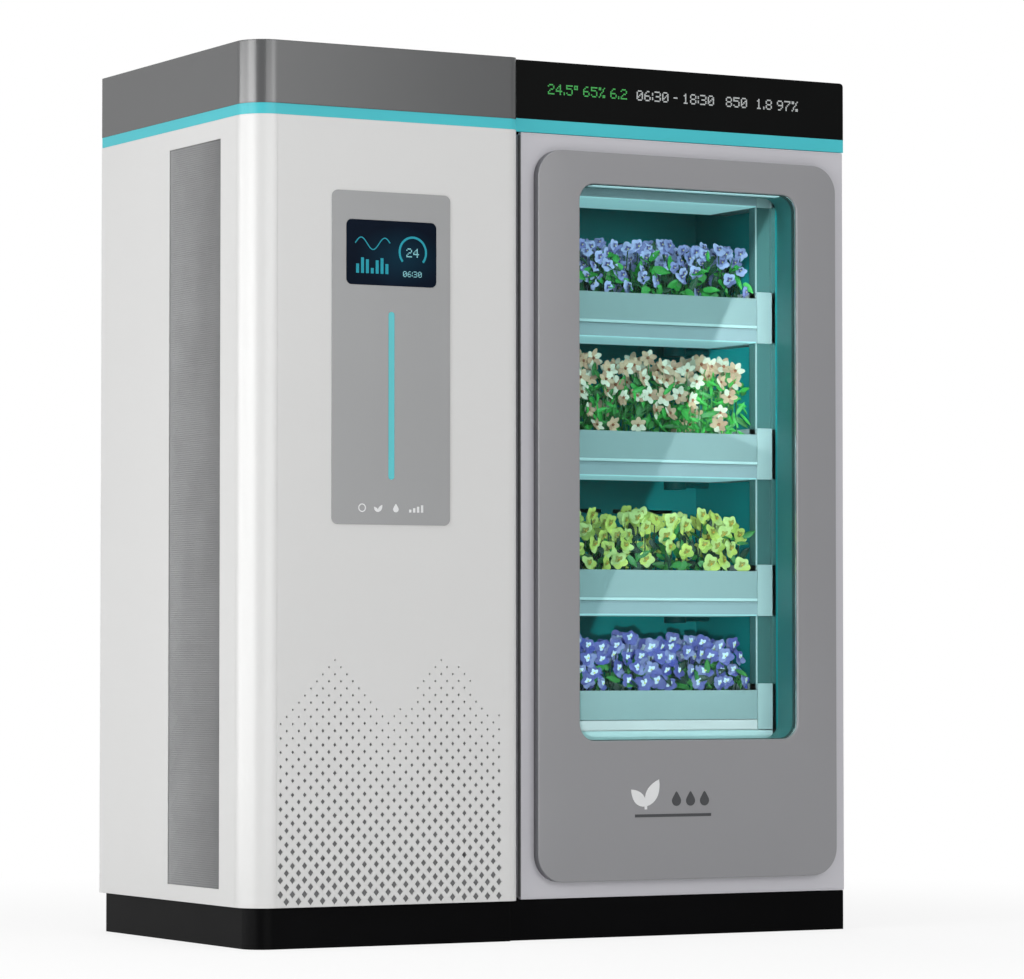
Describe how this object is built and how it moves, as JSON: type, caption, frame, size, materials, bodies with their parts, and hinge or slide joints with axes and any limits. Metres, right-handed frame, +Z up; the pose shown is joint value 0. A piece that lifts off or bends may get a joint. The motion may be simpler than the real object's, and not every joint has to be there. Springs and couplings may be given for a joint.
{
  "type": "vertical hydroponic cabinet",
  "caption": "Floor-standing hydroponic cabinet: a vented service cabinet with controls beside a glazed grow chamber whose lit trays of plants slide behind a hinged door.",
  "frame": {"origin": "middle of the footprint, on the floor", "axes": "+Z up, -Y towards the viewer in front of the door, +X to that viewer's right"},
  "size_m": [1.415, 0.722, 1.8],
  "materials": {
    "white_paint": "satin",
    "grey_paint": "satin",
    "black_plinth": "satin",
    "header_black": "gloss",
    "cyan_band": "gloss",
    "mesh_grey": "matte",
    "filter_media": "matte",
    "fascia_grey": "satin",
    "screen_glass": "gloss",
    "status_lens": "gloss",
    "circuit_green": "satin",
    "bare_metal": "satin",
    "black_plastic": "satin",
    "red_plastic": "gloss",
    "frame_dark": "satin",
    "liner_teal": "satin",
    "rack_teal": "satin",
    "light_white": "satin",
    "tray_teal": "satin",
    "deck_white": "satin",
    "lilac_bloom": "matte",
    "cream_bloom": "matte",
    "yellow_bloom": "matte",
    "blue_bloom": "matte",
    "tank_plastic": "satin",
    "blue_plastic": "gloss",
    "orange_plastic": "satin",
    "steel": "satin",
    "bezel_grey": "satin",
    "window_glass": "gloss",
    "seal_rubber": "matte"
  },
  "bodies": {
    "cabinet": {"service_plinth": "black_plinth", "grow_plinth": "black_plinth", "corner_post": "white_paint", "edge_post": "white_paint", "service_left_panel": "white_paint", "service_front_panel": "white_paint", "service_right_panel": "white_paint", "service_rear_panel": "white_paint", "service_cap": "grey_paint", "light_bands": "cyan_band", "intake_grille": "mesh_grey", "air_filter": "filter_media", "control_fascia": "fascia_grey", "display_screen": "screen_glass", "status_light": "status_lens", "control_board": "circuit_green", "power_supply": "bare_metal", "mains_inlet": "black_plastic", "cooling_coil": "bare_metal", "compressor": "black_plastic", "fan_frame": "black_plastic", "grow_header": "header_black", "grow_right_panel": "white_paint", "grow_rear_panel": "white_paint", "rear_screws": "steel", "mouth_frame": "frame_dark", "chamber_liner": "liner_teal", "rack_sides": "rack_teal", "light_housings": "tray_teal", "light_diffusers": "light_white", "water_tank": "tank_plastic", "tank_lid": "black_plastic", "pump_housing": "black_plastic", "supply_riser": "deck_white", "drain_pipe": "black_plastic", "hinge_brackets": "steel"},
    "door": {"door_frame": "white_paint", "door_inner_panel": "liner_teal", "door_bezel": "bezel_grey", "door_glass": "window_glass", "door_gasket": "seal_rubber", "hinge_pins": "steel"},
    "fan": {"fan_rotor": "black_plastic"},
    "impeller": {"pump_impeller": "deck_white"},
    "float": {"level_float": "orange_plastic"},
    "filler": {"filler_cap": "blue_plastic"},
    "rocker": {"rocker_switch": "red_plastic"},
    "tray_1": {"grow_tray_1": "tray_teal", "planting_deck_1": "deck_white", "plants_1": "lilac_bloom"},
    "tray_2": {"grow_tray_2": "tray_teal", "planting_deck_2": "deck_white", "plants_2": "cream_bloom"},
    "tray_3": {"grow_tray_3": "tray_teal", "planting_deck_3": "deck_white", "plants_3": "yellow_bloom"},
    "tray_4": {"grow_tray_4": "tray_teal", "planting_deck_4": "deck_white", "plants_4": "blue_bloom"}
  },
  "joints": [
    {"name": "door_hinge", "type": "hinge", "parent": "cabinet", "child": "door", "pos_m": [0.6915, -0.306, 0.867], "axis": [0, 0, 1], "range_deg": [0, 110]},
    {"name": "tray_1_slide", "type": "slide", "parent": "cabinet", "child": "tray_1", "axis": [0, -1, 0], "range_m": [0, 0.07]},
    {"name": "tray_2_slide", "type": "slide", "parent": "cabinet", "child": "tray_2", "axis": [0, -1, 0], "range_m": [0, 0.07]},
    {"name": "tray_3_slide", "type": "slide", "parent": "cabinet", "child": "tray_3", "axis": [0, -1, 0], "range_m": [0, 0.07]},
    {"name": "tray_4_slide", "type": "slide", "parent": "cabinet", "child": "tray_4", "axis": [0, -1, 0], "range_m": [0, 0.07]},
    {"name": "fan_spin", "type": "hinge", "parent": "cabinet", "child": "fan", "pos_m": [-0.38275, -0.338, 0.332], "axis": [0, 1, 0], "continuous": true},
    {"name": "impeller_spin", "type": "hinge", "parent": "cabinet", "child": "impeller", "pos_m": [0.008, -0.06, 0.12], "axis": [0, 0, 1], "continuous": true},
    {"name": "float_rise", "type": "slide", "parent": "cabinet", "child": "float", "axis": [0, 0, 1], "range_m": [0, 0.15]},
    {"name": "filler_turn", "type": "hinge", "parent": "cabinet", "child": "filler", "pos_m": [0.312, -0.17, 0.325], "axis": [0, 0, 1], "continuous": true},
    {"name": "rocker_tip", "type": "hinge", "parent": "cabinet", "child": "rocker", "pos_m": [-0.2075, 0.35, 0.203], "axis": [1, 0, 0], "range_deg": [0, 14]}
  ]
}
